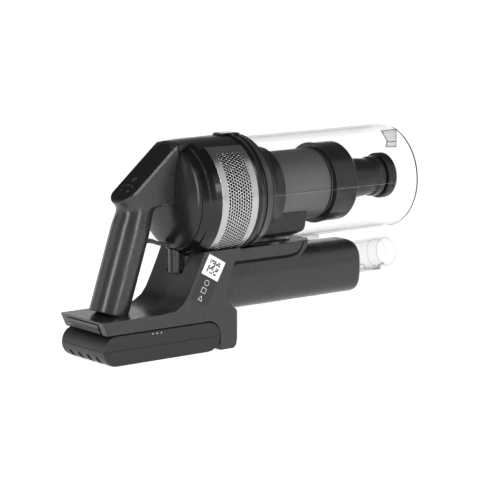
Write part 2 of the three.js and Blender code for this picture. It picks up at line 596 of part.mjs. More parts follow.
  const plate = turned([[80.4, 6.8], [80.4, 30], [82.4, 30], [82.4, 6.8]], SIDES.small);
  const hub = ring([75.6, 81], [6.8, 9], SIDES.small);
  const ports = Array.from({ length: 8 }, (_, i) => radialBlock([78, 84], 3, [17, 26], 45 * i));
  add("diffuser", cut(join(plate, hub), ...ports), CYCLONE_DARK);
  const shroud = turned([[82.8, 27.6], [82.8, 30], [87.6, 30], [96.4, 14], [98.6, 14], [98.6, 11.4],
    [95.6, 11.4], [87.2, 27.6]], SIDES.small);
  add("fan_shroud", shroud, CYCLONE_DARK);

  const sweepBack = Array.from({ length: 5 }, (_, i) => {
    const angle = -0.12 * i;
    const r = 5.5 + 4 * i;
    return [r * Math.sin(angle), AXIS_Z + r * Math.cos(angle)];
  });
  const blade = [...sweepBack, ...sweepBack.map(([y, z]) => [y + 1.1, z]).reverse()];
  const blades = Array.from({ length: 7 }, (_, i) => {
    const geometry = prismGeometry("X", blade, 84.6, 94);
    geometry.translate(0, 0, -AXIS_Z);
    geometry.rotateX((2 * Math.PI * i) / 7);
    geometry.translate(0, 0, AXIS_Z);
    return solidOf(geometry);
  });
  const bladeSpace = turned([[84, 0], [84, 22], [87, 22], [93.5, 9], [93.5, 0]], SIDES.small);
  const backPlate = ring([84, 85.6], [2.3, 22], SIDES.small);
  const wheel = join(backPlate, ring([84, 93.5], [2.3, 7], SIDES.small), ...blades);
  const bore = rod("X", 2.3, 80, 100, [0, AXIS_Z], SIDES.small);
  add("impeller", cut(wheel.intersect(bladeSpace), bore), STEEL);

  const disc = rod("X", 41, 36, 37.6, [0, AXIS_Z], SIDES.small);
  const capacitors = [-18, 18].map((y) => rod("X", 5, 37.2, 46.6, [y, 132], 12));
  const chips = block([37.2, 40], [-9, 9], [136, 143]);
  const upperHalf = block([0, 60], [-60, 60], [146, 240]);
  add("control_board", cut(join(disc, ...capacitors, chips), upperHalf), BOARD_GREEN);
}

// ---- Bin latch ----

function buildLatch() {
  const side = [[94.6, 211.2], [101, 210.9], [104, 209.2], [110, 209.2], [111.4, 210.2], [115.2, 210.2],
    [116, 208.9], [118.6, 208.9], [119.2, 211.2], [118, 212.8], [114, 213.4], [96.4, 213.4], [94.6, 212.6]];
  const pinBore = rod("Y", LATCH_PIN.r + 0.25, -20, 20, [LATCH_PIN.x, LATCH_PIN.z], 16);
  const springSlot = block([104.2, 109.8], [-3.2, 3.2], [200, 212.6]);
  add("bin_latch", cut(prism("Y", side, -LATCH_HALF_WIDTH, LATCH_HALF_WIDTH), pinBore, springSlot),
    GLOSS_BLACK);
  const pinEnd = LATCH_HALF_WIDTH + 2.8;
  add("latch_pin", rod("Y", LATCH_PIN.r, -pinEnd, pinEnd, [LATCH_PIN.x, LATCH_PIN.z], 16), STEEL);
  add("latch_spring", coil([LATCH_PIN.x, -2.4, LATCH_PIN.z], [0, 1, 0], 4.8, 1.35, 0.25, 4), STEEL);
}

// ---- Dust bin and cyclone ----

function buildBin() {
  const inner = BIN_R - BIN_WALL;
  const face = BIN_FRONT - BIN_WALL;
  const cup = turned([[BIN_REAR, inner], [BIN_REAR, BIN_R], [BIN_FRONT - 2.4, BIN_R],
    [BIN_FRONT - 0.7, BIN_R - 0.7], [BIN_FRONT, BIN_R - 2.4], [BIN_FRONT, 0], [face, 0],
    [face, inner - 1]], SIDES.large);
  const port = block([CHAMBER.rear + 0.6, CHAMBER.front - 0.6], [-13.6, 13.6], [90, 112]);
  const catchRib = block([112.4, 115.2], [-5.6, 5.6], [205.6, 208.3]);
  const foot = prism("Y", [[200.6, 91.2], [224, 94.4], [224, 99.4], [200.6, 99.4]], -7, 7);
  const tabSide = [[297, 204], [317, 204], [316.8, 184.7], [301.5, 184.7]];
  const tab = prism("Y", tabSide, -21.2, -19.4).intersect(rod("X", 53.3, 280, 320, [0, AXIS_Z], SIDES.large));
  add("dust_bin", cut(join(cup, catchRib, foot, tab), port), CLEAR);
  add("bin_seal", ring([108.5, BIN_REAR - 0.3], [49, 54.5], SIDES.medium), RUBBER);

  const base = turned([[110.9, 30], [110.9, 51.8], [121, 51.8], [126, 49.3], [134, 44.6], [141, 43],
    [149.5, 43], [149.5, 37.5], [131.5, 37.5], [131.5, 43.2], [124.8, 47], [120.4, 49.4],
    [113.3, 49.4], [113.3, 30]], SIDES.large);
  const ductSide = [[118, 98], [174, 98], [180, 103], [186, 113], [188, 124], [188, 131], [118, 131]];
  const duct = ring([117, 195], [37.5, 51.8], SIDES.large).intersect(prism("Y", ductSide, -29, 29));
  const ductRoom = ring([124, 196], [39.4, 50], SIDES.large)
    .intersect(block([124, 200], [-27, 27], [95, 129.2]));
  const port2 = block([CHAMBER.rear + 2.6, CHAMBER.front - 3.4], [-12.6, 12.6], [95, 112]);
  add("cyclone_base", cut(join(base, duct), ductRoom, port2), CYCLONE_DARK);

  const sleeve = ring([132.4, 217.2], [35.4, 37], SIDES.medium);
  const openings = Array.from({ length: 12 }, (_, i) => radialBlock([146, 212], 6.4, [30, 45], 15 + 30 * i));
  add("mesh_screen", cut(sleeve, ...openings), MESH_GREY);
  const collar = turned([[217.5, 30], [217.5, 42.1], [219, 42.1], [219.6, 41.4], [247, 41.4],
    [249.8, 38.9], [249.8, 22.6], [248.1, 22.6], [248.1, 38.2], [246.4, 39.8], [219.2, 39.8],
    [219.2, 30]], SIDES.medium);
  add("cyclone_collar", collar, CYCLONE_DARK);
  add("inner_cone", turned([[134, 32.6], [134, 34], [150, 34], [246.8, 21], [246.8, 19.6],
    [150, 32.6]], SIDES.small), CYCLONE_DARK);
  add("dust_tube", turned([[247.2, 20.4], [247.2, 22.2], [258, 22.2], [280, 20.7], [295, 19.4],
    [296.4, 21.2], [304.4, 21.2], [306.4, 18.4], [306.4, 16.6], [304, 16.6], [303.2, 19.2],
    [297.6, 19.2], [295.6, 17.4], [280, 18.8], [258, 20.4]], SIDES.small), CYCLONE_DARK);
  const knob = turned([[306.8, 16.6], [306.8, 22.4], [308.4, 24.1], [316, 24.1], [316.8, 23.3],
    [316.8, 16.6]], SIDES.small);
  const bar = block([308.5, 314.5], [-3, 3], [AXIS_Z - 20, AXIS_Z + 20]);
  add("dust_knob", join(knob, bar), CYCLONE_DARK);
}

buildBattery();
buildBody();
buildHead();
buildInlet();
buildMotorUnit();
buildLatch();
buildBin();

export default assembly;
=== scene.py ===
"""Looks of the handheld vacuum. Metres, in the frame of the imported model:
+X towards the nozzle, +Y to the vacuum's left side, +Z up, standing on Z = 0."""

import json
import math

import bpy
import numpy as np
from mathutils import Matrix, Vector


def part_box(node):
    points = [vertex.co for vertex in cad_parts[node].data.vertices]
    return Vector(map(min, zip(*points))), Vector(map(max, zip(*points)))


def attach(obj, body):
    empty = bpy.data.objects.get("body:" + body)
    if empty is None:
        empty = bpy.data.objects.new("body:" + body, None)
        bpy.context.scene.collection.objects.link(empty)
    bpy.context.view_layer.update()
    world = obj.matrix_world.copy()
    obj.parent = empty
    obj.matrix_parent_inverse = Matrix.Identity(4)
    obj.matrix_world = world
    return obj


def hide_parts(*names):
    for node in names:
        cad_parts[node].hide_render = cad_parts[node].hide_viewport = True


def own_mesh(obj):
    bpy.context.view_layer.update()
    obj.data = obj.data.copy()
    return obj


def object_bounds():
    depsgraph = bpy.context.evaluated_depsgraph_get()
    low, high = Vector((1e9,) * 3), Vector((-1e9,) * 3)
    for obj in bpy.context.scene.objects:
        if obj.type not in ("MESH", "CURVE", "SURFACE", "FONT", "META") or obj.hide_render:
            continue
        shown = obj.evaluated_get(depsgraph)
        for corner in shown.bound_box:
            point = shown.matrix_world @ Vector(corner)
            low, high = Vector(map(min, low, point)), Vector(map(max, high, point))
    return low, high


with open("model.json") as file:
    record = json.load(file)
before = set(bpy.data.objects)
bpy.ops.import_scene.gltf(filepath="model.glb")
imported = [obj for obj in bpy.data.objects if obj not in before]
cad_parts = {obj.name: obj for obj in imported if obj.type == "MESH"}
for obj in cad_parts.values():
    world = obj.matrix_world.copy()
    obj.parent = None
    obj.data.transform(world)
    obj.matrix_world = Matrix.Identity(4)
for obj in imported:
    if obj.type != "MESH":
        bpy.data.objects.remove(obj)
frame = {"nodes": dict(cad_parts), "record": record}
CAD_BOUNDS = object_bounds()
NODES = frame["nodes"]
MM = 0.001

# Places taken from the frame.
SCREEN_LOW, SCREEN_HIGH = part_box("mesh_screen")
AXIS_Z = (SCREEN_LOW.z + SCREEN_HIGH.z) / 2
SCREEN_R = (SCREEN_HIGH.z - SCREEN_LOW.z) / 2
GRILLE_LOW, GRILLE_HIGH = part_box("exhaust_grille")
GRILLE_R = GRILLE_HIGH.y
BIN_LOW, BIN_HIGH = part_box("dust_bin")
BIN_R = BIN_HIGH.y
TUBE_LOW, TUBE_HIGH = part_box("inlet_tube")
TUBE_R = TUBE_HIGH.y
TUBE_Z = TUBE_HIGH.z - TUBE_R
BATTERY_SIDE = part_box("battery_case_lower")[0].y
COLUMN_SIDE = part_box("body_shell_right")[0].y
PANEL_LOW, PANEL_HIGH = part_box("display_panel")
COLLAR_LOW, COLLAR_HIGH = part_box("cyclone_collar")
DUCT_LOW, DUCT_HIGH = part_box("dust_tube")
KNOB_LOW, KNOB_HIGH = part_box("dust_knob")
SLOPE = math.atan(0.842)
UP_SLOPE = Vector((math.cos(SLOPE), 0, math.sin(SLOPE)))
OUT_OF_SLOPE = Vector((-math.sin(SLOPE), 0, math.cos(SLOPE)))
PANEL_THICK = 1.9 * MM
PANEL_ORIGIN = (PANEL_LOW + PANEL_HIGH) / 2 + OUT_OF_SLOPE * 0.95 * MM


def mm(points):
    """Points given in millimetres, in metres."""
    return [tuple(value * MM for value in point) for point in points]


# ---- Node materials ----

class Shader:
    """A node material around one Principled shader."""

    def __init__(self, name):
        self.material = bpy.data.materials.new(name)
        self.material.use_nodes = True
        self.tree = self.material.node_tree
        self.principled = self.tree.nodes["Principled BSDF"]
        self.coords = self.tree.nodes.new("ShaderNodeTexCoord").outputs["Object"]

    def set(self, **values):
        for socket, value in values.items():
            self.principled.inputs[socket.replace("_", " ")].default_value = value

    def link(self, output, socket):
        self.tree.links.new(output, self.principled.inputs[socket])

    def math(self, operation, first, second=0.0):
        node = self.tree.nodes.new("ShaderNodeMath")
        node.operation = operation
        for socket, value in zip(node.inputs, (first, second)):
            if isinstance(value, (int, float)):
                socket.default_value = value
            else:
                self.tree.links.new(value, socket)
        return node.outputs[0]

    def noise(self, scale, detail=3.0, stretch=(1, 1, 1)):
        mapping = self.tree.nodes.new("ShaderNodeMapping")
        mapping.inputs["Scale"].default_value = stretch
        self.tree.links.new(self.coords, mapping.inputs["Vector"])
        noise = self.tree.nodes.new("ShaderNodeTexNoise")
        noise.inputs["Scale"].default_value = scale
        noise.inputs["Detail"].default_value = detail
        self.tree.links.new(mapping.outputs["Vector"], noise.inputs["Vector"])
        return noise.outputs["Fac"]

    def ramp(self, factor, stops):
        node = self.tree.nodes.new("ShaderNodeValToRGB")
        elements = node.color_ramp.elements
        while len(elements) < len(stops):
            elements.new(0.5)
        for element, (place, color) in zip(elements, stops):
            element.position = place
            element.color = (*color, 1.0) if len(color) == 3 else color
        self.tree.links.new(factor, node.inputs["Fac"])
        return node.outputs["Color"]

    def span(self, factor, low, high):
        node = self.tree.nodes.new("ShaderNodeMapRange")
        node.inputs["From Min"].default_value = 0.3
        node.inputs["From Max"].default_value = 0.7
        node.inputs["To Min"].default_value = low
        node.inputs["To Max"].default_value = high
        self.tree.links.new(factor, node.inputs["Value"])
        return node.outputs["Result"]

    def bump(self, height, depth, strength=1.0, edge=0.0):
        node = self.tree.nodes.new("ShaderNodeBump")
        node.inputs["Distance"].default_value = depth
        node.inputs["Strength"].default_value = strength
        self.tree.links.new(height, node.inputs["Height"])
        if edge:
            bevel = self.tree.nodes.new("ShaderNodeBevel")
            bevel.samples = 4
            bevel.inputs["Radius"].default_value = edge
            self.tree.links.new(bevel.outputs["Normal"], node.inputs["Normal"])
        self.link(node.outputs["Normal"], "Normal")


def shade(color, factor):
    """A colour made lighter or darker."""
    return tuple(min(1.0, channel * factor) for channel in color)


def moulded(name, color, rough, grain=0.004 * MM, tint=0.06, scale=1400, edge=0.4 * MM, coat=0.0, metal=0.0,
             shine=0.5):
    """Moulded plastic or a painted skin: slow colour drift, fine grain and softened edges."""
    look = Shader(name)
    look.set(Metallic=metal, Coat_Weight=coat, Specular_IOR_Level=shine)
    drift = look.noise(38, 4)
    look.link(look.ramp(drift, [(0.3, shade(color, 1 - tint)), (0.7, shade(color, 1 + tint))]), "Base Color")
    fine = look.noise(scale, 2)
    look.link(look.span(look.noise(60, 2), rough * 0.94, min(1.0, rough * 1.08)), "Roughness")
    look.bump(fine, grain, 0.5, edge)
    return look.material


def metal(name, color, rough, stretch=(1, 1, 1), scale=900, depth=0.01 * MM):
    """Bare metal with fine streaks."""
    look = Shader(name)
    look.set(Metallic=1.0)
    streak = look.noise(scale, 3, stretch)
    look.link(look.ramp(streak, [(0.3, shade(color, 0.82)), (0.7, shade(color, 1.12))]), "Base Color")
    look.link(look.span(streak, rough * 0.75, rough * 1.3), "Roughness")
    look.bump(streak, depth, 0.4, 0.2 * MM)
    return look.material


def clear(name, color, facing_alpha, grazing_alpha, rough=0.06):
    """Clear moulded plastic: nearly unseen face on, greyer where it is seen edge on."""
    look = Shader(name)
    weight = look.tree.nodes.new("ShaderNodeLayerWeight")
    weight.inputs["Blend"].default_value = 0.5
    low = (facing_alpha,) * 3
    high = (grazing_alpha,) * 3
    stops = [(0.0, low), (0.55, shade(low, 1.8)), (0.8, shade(high, 0.22)), (0.97, high)]
    look.link(look.ramp(weight.outputs["Facing"], stops), "Alpha")
    drift = look.noise(30, 3)
    look.link(look.ramp(drift, [(0.3, shade(color, 0.94)), (0.7, color)]), "Base Color")
    look.link(look.span(look.noise(160, 2), rough * 0.8, rough * 1.3), "Roughness")
    look.set(IOR=1.45)
    return look.material


def weave(name, color, axis_z, radius, pitch):
    """Fine diagonal wire weave round an axis along X."""
    look = Shader(name)
    look.set(Metallic=0.35)
    split = look.tree.nodes.new("ShaderNodeSeparateXYZ")
    look.tree.links.new(look.coords, split.inputs[0])
    angle = look.math("ARCTAN2", split.outputs["Y"], look.math("SUBTRACT", split.outputs["Z"], axis_z))
    around = look.math("MULTIPLY", angle, radius)
    turn = 2 * math.pi / pitch
    first = look.math("SINE", look.math("MULTIPLY", look.math("ADD", split.outputs["X"], around), turn))
    second = look.math("SINE", look.math("MULTIPLY", look.math("SUBTRACT", split.outputs["X"], around), turn))
    wires = look.math("ADD", look.math("MULTIPLY", look.math("MULTIPLY", first, second), 0.5), 0.5)
    look.link(look.ramp(wires, [(0.25, shade(color, 0.45)), (0.75, shade(color, 1.35))]), "Base Color")
    look.link(look.span(wires, 0.34, 0.6), "Roughness")
    look.bump(wires, 0.12 * MM, 0.8)
    return look.material


def fabric(name, color, scale):
    """Felt and foam."""
    look = Shader(name)
    look.set(Roughness=0.95)
    cells = look.noise(scale, 5)
    look.link(look.ramp(cells, [(0.3, shade(color, 0.6)), (0.7, shade(color, 1.15))]), "Base Color")
    look.bump(cells, 0.4 * MM, 0.8)
    return look.material


def circuit(name, color):
    """A circuit board with lighter tracks."""
    look = Shader(name)
    look.set(Roughness=0.4)
    tracks = look.noise(260, 1, (1, 4, 1))
    look.link(look.ramp(tracks, [(0.48, color), (0.52, shade(color, 1.7))]), "Base Color")
    look.bump(tracks, 0.05 * MM, 0.6)
    return look.material


def printed(name, color, rough=0.45):
    """Ink, label stock and small lights."""
    look = Shader(name)
    speck = look.noise(700, 2)
    look.link(look.ramp(speck, [(0.3, shade(color, 0.93)), (0.7, color)]), "Base Color")
    look.link(look.span(speck, rough * 0.9, rough * 1.1), "Roughness")
    return look.material


LOOKS = {
    "body_dark": moulded("body_satin", (0.0195, 0.0197, 0.0202), 0.27, grain=0.002 * MM, shine=0.46),
    "battery_dark": moulded("battery_matt", (0.0135, 0.0137, 0.0141), 0.34, grain=0.003 * MM, shine=0.34),
    "gloss_black": moulded("gloss_black", (0.0045, 0.0045, 0.005), 0.14, grain=0.001 * MM, edge=0.0,
                           shine=0.38),
    "silver": moulded("silver_satin", (0.43, 0.435, 0.44), 0.26, grain=0.001 * MM, edge=0.0, metal=1.0,
                      tint=0.04),
    "cyclone_dark": moulded("cyclone_satin", (0.011, 0.0112, 0.0115), 0.24, grain=0.002 * MM, edge=0.0,
                            shine=0.36),
    "mesh": weave("screen_weave", (0.11, 0.111, 0.113), AXIS_Z, SCREEN_R, 2.7 * MM),
    "clear": clear("clear_plastic", (0.03, 0.031, 0.032), 0.004, 0.6, 0.2),
    "rubber": moulded("rubber_matt", (0.02, 0.02, 0.021), 0.8, grain=0.02 * MM),
    "steel": metal("steel_bright", (0.6, 0.61, 0.62), 0.25),
    "motor_alloy": metal("machined_alloy", (0.62, 0.62, 0.64), 0.32, (1, 30, 30), 120),
    "brass": metal("contact_brass", (0.72, 0.5, 0.2), 0.28),
    "board": circuit("board_green", (0.02, 0.1, 0.05)),
    "filter_paper": fabric("filter_felt", (0.7, 0.7, 0.66), 900),
    "foam": fabric("open_foam", (0.24, 0.25, 0.26), 600),
    "bracket": moulded("bracket_grey", (0.5, 0.51, 0.52), 0.45),
    "cell": moulded("cell_sleeve", (0.05, 0.16, 0.32), 0.3),
    "winding": metal("copper_wire", (0.6, 0.28, 0.13), 0.35, (1, 60, 60), 60),
}


# Looks that belong to single pieces.
COVER_GLOSS = moulded("cover_soft_gloss", (0.011, 0.011, 0.0115), 0.26, edge=0.0, shine=0.34)
# Near-black matt sheet under the exhaust ring's holes: painted shade standing in for the dark inside of the
# housing.
RING_HOLE_SHADE = moulded("painted_hole_shade", (0.0015, 0.0015, 0.0015), 0.95, shine=0.03)
EDGE_GREY = clear("clear_edge", (0.3, 0.31, 0.32), 0.25, 0.8)
EDGE_DARK = clear("clear_edge_dark", (0.012, 0.012, 0.013), 0.9, 1.0)
TUBE_CLEAR = clear("tube_plastic", (0.24, 0.25, 0.26), 0.06, 1.0)
FLANGE = moulded("smoked_flange", (0.03, 0.0305, 0.031), 0.16, grain=0.001 * MM, edge=0.0)
# Near-black matt used only to paint the shade in the coves beside the inlet cover and the column.
COVE_SHADE = moulded("painted_cove_shade", (0.006, 0.006, 0.0063), 0.6, shine=0.08)
LIGHT = printed("level_light", (0.55, 0.56, 0.57))
INK = printed("panel_ink", (0.16, 0.16, 0.165))


# ---- Carried-over CAD nodes ----

def smoothing_group():
    """Shades smooth, with sharp edges kept at steep angles."""
    group = bpy.data.node_groups.new("smooth_by_angle", "GeometryNodeTree")
    group.interface.new_socket("Geometry", in_out="INPUT", socket_type="NodeSocketGeometry")
    group.interface.new_socket("Geometry", in_out="OUTPUT", socket_type="NodeSocketGeometry")
    make = group.nodes.new
    start, end = make("NodeGroupInput"), make("NodeGroupOutput")
    soft, crisp = make("GeometryNodeSetShadeSmooth"), make("GeometryNodeSetShadeSmooth")
    crisp.domain = "EDGE"
    crisp.inputs["Shade Smooth"].default_value = False
    angle, limit = make("GeometryNodeInputMeshEdgeAngle"), make("FunctionNodeCompare")
    limit.operation = "GREATER_THAN"
    limit.inputs["B"].default_value = math.radians(34)
    link = group.links.new
    link(start.outputs[0], soft.inputs["Geometry"])
    link(soft.outputs[0], crisp.inputs["Geometry"])
    link(angle.outputs["Unsigned Angle"], limit.inputs["A"])
    link(limit.outputs["Result"], crisp.inputs["Selection"])
    link(crisp.outputs[0], end.inputs[0])
    return group


SMOOTHING = smoothing_group()
ROUNDED = {
    "battery_case_lower": 0.5, "battery_case_upper": 0.5, "body_shell_right": 0.8, "body_shell_left": 0.8,
    "head_shell": 1.0, "finger_guard": 0.5, "inlet_housing": 0.6, "inlet_cover_right": 0.5,
    "inlet_cover_left": 0.5, "battery_release_button": 0.5, "bin_latch": 0.5, "front_collar": 0.4,
    "motor_housing": 0.4, "top_cover": 0.4, "rear_cover": 0.3, "cyclone_base": 0.4, "cyclone_collar": 0.5,
    "dust_tube": 0.3, "dust_knob": 0.4, "neck_post": 0.4, "display_panel": 0.3, "power_button": 0.15,
    "minus_button": 0.15, "plus_button": 0.15,
}


def finish_edges(obj):
    """Shades smooth by angle, weighted towards the large faces."""
    smooth = obj.modifiers.new("smooth", "NODES")
    smooth.node_group = SMOOTHING
    weighted = obj.modifiers.new("weighted", "WEIGHTED_NORMAL")
    weighted.keep_sharp = True


def round_edges(obj, name, width, segments, degrees):
    """Rounds the edges that turn by more than an angle."""
    edge = obj.modifiers.new(name, "BEVEL")
    edge.width = width
    edge.segments = segments
    edge.limit_method = "ANGLE"
    edge.angle_limit = math.radians(degrees)
    return edge


def soften(obj, bevel=0.0):
    """Rounds and smooths a CAD node by modifiers only: its mesh stays as it is."""
    weld = obj.modifiers.new("weld", "WELD")
    weld.merge_threshold = 0.005 * MM
    if bevel:
        flat = obj.modifiers.new("flat_faces", "DECIMATE")
        flat.decimate_type = "DISSOLVE"
        flat.angle_limit = math.radians(0.6)
        edge = round_edges(obj, "rounded_edges", bevel * MM, 2, 38)
        edge.use_clamp_overlap = True
        edge.miter_outer = "MITER_ARC"
    finish_edges(obj)


SLOT_OF = {row["node"]: row["material_slot"] for row in frame["record"]["subparts"]}
for node, obj in NODES.items():
    obj.data.materials.clear()
    obj.data.materials.append(LOOKS[SLOT_OF[node]])
    soften(obj, ROUNDED.get(node, 0.0))
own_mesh(NODES["battery_release_spring"])
NODES["rear_cover"].data.materials[0] = COVER_GLOSS


# ---- Mesh helpers ----

def piece(name, verts, faces, look, body, slot=None, smooth=True):
    mesh = bpy.data.meshes.new(name)
    mesh.from_pydata([tuple(v) for v in verts], [], faces)
    mesh.validate()
    mesh.update()
    mesh.polygons.foreach_set("use_smooth", [smooth] * len(mesh.polygons))
    mesh.materials.append(look)
    obj = bpy.data.objects.new(name, mesh)
    bpy.context.scene.collection.objects.link(obj)
    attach(obj, body)
    return obj


def around(x, r, degrees, z=AXIS_Z):
    """A point at a radius from an axis along X, measured from straight up towards -Y."""
    angle = math.radians(degrees)
    return Vector((x, -r * math.sin(angle), z + r * math.cos(angle)))


def turned(name, profile, look, body, slot=None, sides=128, z=AXIS_Z, start=0.0, end=360.0):
    """A closed profile of (x, r) corners turned about an axis along X."""
    full = end - start >= 360
    rows = sides if full else sides + 1
    verts = [around(x, r, start + (end - start) * i / sides, z) for i in range(rows) for x, r in profile]
    count = len(profile)
    faces = []
    for i in range(sides):
        near, far = i * count, ((i + 1) % rows) * count
        for k in range(count):
            nxt = (k + 1) % count
            faces.append((near + k, far + k, far + nxt, near + nxt))
    if not full:
        faces.append(tuple(range(count)))
        faces.append(tuple(reversed(range(sides * count, (sides + 1) * count))))
    obj = piece(name, verts, faces, look, body, slot)
    finish_edges(obj)
    return obj


def arc(cx, cy, r, start, end, steps):
    angles = [math.radians(start + (end - start) * i / steps) for i in range(steps + 1)]
    return [(cx + r * math.cos(a), cy + r * math.sin(a)) for a in angles]


def prism(outline, low, high, place):
    """Corners and faces of an outline of (a, b) corners between two levels; place(a, b, c) puts a corner."""
    count = len(outline)
    verts = [place(a, b, low) for a, b in outline] + [place(a, b, high) for a, b in outline]
    faces = [tuple(reversed(range(count))), tuple(range(count, 2 * count))]
    faces += [(i, (i + 1) % count, count + (i + 1) % count, count + i) for i in range(count)]
    return verts, faces


def plate(name, outline, low, high, place, look, body, slot=None, bevel=0.0):
    """An outline as a thin plate that shows."""
    obj = piece(name, *prism(outline, low, high, place), look, body, slot, smooth=False)
    if bevel:
        round_edges(obj, "edge", bevel, 3, 50)
    finish_edges(obj)
    return obj


def solid(name, verts, faces):
    """A bare mesh used to build another piece."""
    mesh = bpy.data.meshes.new(name)
    mesh.from_pydata([tuple(v) for v in verts], [], faces)
    mesh.update()
    obj = bpy.data.objects.new(name, mesh)
    bpy.context.scene.collection.objects.link(obj)
    return obj


def slab(name, outline, low, high, place):
    """An outline as a bare solid."""
    return solid(name, *prism(outline, low, high, place))


def bake(obj):
    """Turns an object's modifiers into plain mesh data."""
    graph = bpy.context.evaluated_depsgraph_get()
    mesh = bpy.data.meshes.new_from_object(obj.evaluated_get(graph))
    obj.modifiers.clear()
    obj.data = mesh


def combine(obj, others, operation):
    """Joins, cuts or crosses obj with the others, and removes them."""
    for other in others:
        step = obj.modifiers.new("combine", "BOOLEAN")
        step.operation = operation
        step.solver = "EXACT"
        step.object = other
    bake(obj)
    for other in others:
        bpy.data.objects.remove(other)


def relax(obj, weight_of, rounds):
    """Evens out the surface where weight_of(corners) is above zero."""
    mesh = obj.data
    count = len(mesh.vertices)
    points = np.empty(count * 3)
    mesh.vertices.foreach_get("co", points)
    points = points.reshape(-1, 3)
    edges = np.empty(len(mesh.edges) * 2, dtype=np.int32)
    mesh.edges.foreach_get("vertices", edges)
    one, two = edges.reshape(-1, 2).T
    degree = np.bincount(np.concatenate((one, two)), minlength=count)[:, None]
    weight = weight_of(points)[:, None] * 0.6
    for _ in range(rounds):
        total = np.stack([np.bincount(one, points[two, k], count) + np.bincount(two, points[one, k], count)
                          for k in range(3)], axis=1)
        points = points + (total / degree - points) * weight
    mesh.vertices.foreach_set("co", points.ravel())
    mesh.update()


def rising(values, low, high):
    """0 below low, 1 above high, smooth between."""
    share = np.clip((values - low) / (high - low), 0, 1)
    return share * share * (3 - 2 * share)


def eased(corners, radius, steps=4):
    """Rounds the corners of a closed (x, r) profile."""
    points = [Vector(corner) for corner in corners]
    soft = []
    for i, here in enumerate(points):
        back, ahead = points[i - 1] - here, points[(i + 1) % len(points)] - here
        reach = min(radius, 0.45 * back.length, 0.45 * ahead.length)
        first, last = here + back.normalized() * reach, here + ahead.normalized() * reach
        for k in range(steps + 1):
            t = k / steps
            soft.append(tuple(first * (1 - t) ** 2 + here * 2 * t * (1 - t) + last * t * t))
    return soft


def stadium(half_length, half_width, steps=16):
    """A long outline with round ends."""
    inner = half_length - half_width
    return arc(inner, 0, half_width, -90, 90, steps) + arc(-inner, 0, half_width, 90, 270, steps)


def ribbon(name, points, width, low, high, place, look, body, slot=None, closed=False):
    """A flat stroke of even width along (a, b) points."""
    path = [Vector(point) for point in points]
    count = len(path)
    sides = []
    for i, here in enumerate(path):
        before = path[i - 1] if closed or i else here
        after = path[(i + 1) % count] if closed or i < count - 1 else here
        into = (here - before).normalized() if here != before else (after - here).normalized()
        out = (after - here).normalized() if here != after else into
        normal = Vector((-into.y - out.y, into.x + out.x)).normalized()
        reach = width / 2 / max(0.4, normal.dot(Vector((-into.y, into.x))))
        sides.append((here + normal * reach, here - normal * reach))
    verts = [place(p.x, p.y, w) for left, right in sides for p, w in
             ((left, low), (right, low), (right, high), (left, high))]
    faces = []
    for i in range(count if closed else count - 1):
        near, far = 4 * i, 4 * ((i + 1) % count)
        for k in range(4):
            faces.append((near + k, near + (k + 1) % 4, far + (k + 1) % 4, far + k))
    if not closed:
        faces.append((0, 3, 2, 1))
        last = 4 * (count - 1)
        faces.append((last, last + 1, last + 2, last + 3))
    return piece(name, verts, faces, look, body, slot, smooth=False)


# ---- Handle: grip and display head in one moulding ----

GRIP_FOOT = Vector((-39 * MM, 0, 47 * MM))
GRIP_TILT = math.atan2(30, 90)
HEAD_HALF = 18 * MM
# Each key's place up the slope and across it, and its radius, in millimetres.
KEYS = {"power_key": (-10.5, 0, 5), "minus_key": (-26.5, 5.6, 3.8), "plus_key": (-26.5, -5.6, 3.8)}


def on_display(u, v, w):
    """A point in the display's own frame: up the slope, across to the left, out of the face."""
    return PANEL_ORIGIN + UP_SLOPE * u + Vector((0, v, 0)) + OUT_OF_SLOPE * w


def grip_solid():
    """The round grip, leaning forwards and slightly thinner towards the head."""
    along = Vector((math.sin(GRIP_TILT), 0, math.cos(GRIP_TILT)))
    aside = Vector((math.cos(GRIP_TILT), 0, -math.sin(GRIP_TILT)))
    profile = [(-3, 19.5), (30, 19.5), (84, 19.5), (94, 18.6), (104, 18.05), (119, 18)]
    sides = 72
    verts = []
    for s, r in profile:
        for i in range(sides):
            angle = 2 * math.pi * i / sides
            verts.append(GRIP_FOOT + along * s * MM + aside * r * MM * math.cos(angle)
                         + Vector((0, r * MM * math.sin(angle), 0)))
    faces = [tuple(reversed(range(sides)))]
    for row in range(len(profile) - 1):
        for i in range(sides):
            n = (i + 1) % sides
            faces.append((row * sides + i, row * sides + n, (row + 1) * sides + n, (row + 1) * sides + i))
    faces.append(tuple(range((len(profile) - 1) * sides, len(profile) * sides)))
    return solid("grip", verts, faces)


def dress(obj, slot, *replaced):
    """Look and body of a carved piece of the body, with the look picked by its slot name; hides the CAD nodes
    it stands for.
    """
    obj.data.materials.clear()
    obj.data.materials.append(LOOKS[slot])
    obj.data.polygons.foreach_set("use_smooth", [True] * len(obj.data.polygons))
    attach(obj, "vacuum_body")
    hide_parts(*replaced)
    finish_edges(obj)


